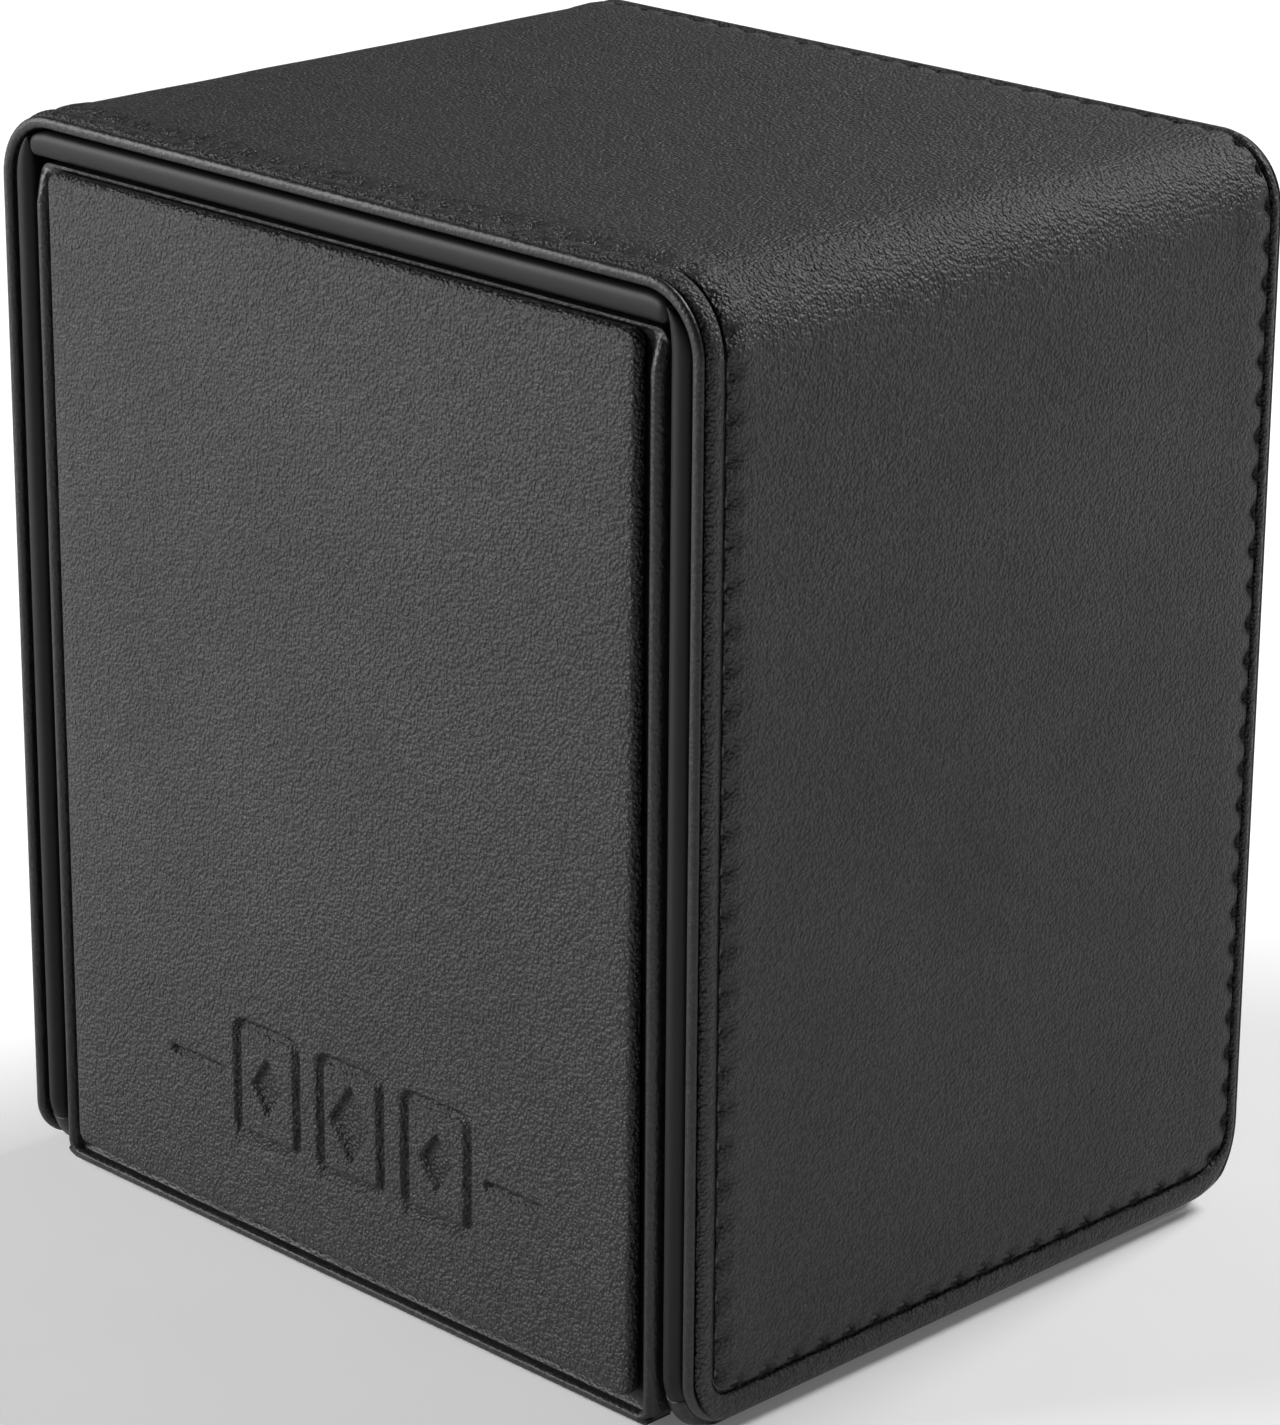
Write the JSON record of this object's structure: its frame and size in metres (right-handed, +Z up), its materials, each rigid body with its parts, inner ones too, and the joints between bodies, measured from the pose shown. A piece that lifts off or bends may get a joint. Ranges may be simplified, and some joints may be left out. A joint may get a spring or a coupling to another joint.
{
  "type": "card deck box",
  "caption": "Upright side-loading box for sleeved trading cards: stitched leatherette shell round a covered tray, with a padded front flap hinged along the bottom edge.",
  "frame": {"origin": "middle of the box's bounding rectangle on the plane it stands on, with the flap closed", "axes": "+X to the right as the flap is faced, -Y out through the flap, +Z up"},
  "size_m": [0.091, 0.076, 0.1043],
  "materials": {
    "leatherette": "matte pebble grain",
    "smooth_wrap": "smooth satin",
    "microfibre_lining": "matte short nap",
    "greyboard": "raw",
    "stiffener_sheet": "smooth",
    "magnet": "nickel plated"
  },
  "bodies": {
    "box": {"shell_outer_cover": "leatherette", "shell_inner_cover": "leatherette", "shell_right_stiffener": "stiffener_sheet", "shell_left_stiffener": "stiffener_sheet", "shell_top_stiffener": "stiffener_sheet", "tray_left_wrap": "smooth_wrap", "tray_left_board": "greyboard", "tray_left_magnet": "magnet", "tray_right_wrap": "smooth_wrap", "tray_right_board": "greyboard", "tray_right_magnet": "magnet", "tray_top_wrap": "smooth_wrap", "tray_top_board": "greyboard", "liner_right": "microfibre_lining", "liner_left": "microfibre_lining", "liner_top": "microfibre_lining", "liner_floor": "microfibre_lining", "liner_back": "microfibre_lining", "base_board": "greyboard", "back_board": "greyboard", "base_and_back_cover": "leatherette", "hinge_strip": "leatherette"},
    "flap": {"flap_edge_wrap": "leatherette", "flap_front_panel": "leatherette", "flap_board": "greyboard", "flap_right_magnet": "magnet", "flap_left_magnet": "magnet", "flap_lining": "microfibre_lining"}
  },
  "joints": [
    {"name": "flap_hinge", "type": "hinge", "parent": "box", "child": "flap", "pos_m": [0, -0.0374, 0.0006], "axis": [1, 0, 0], "range_deg": [0, 90]}
  ]
}
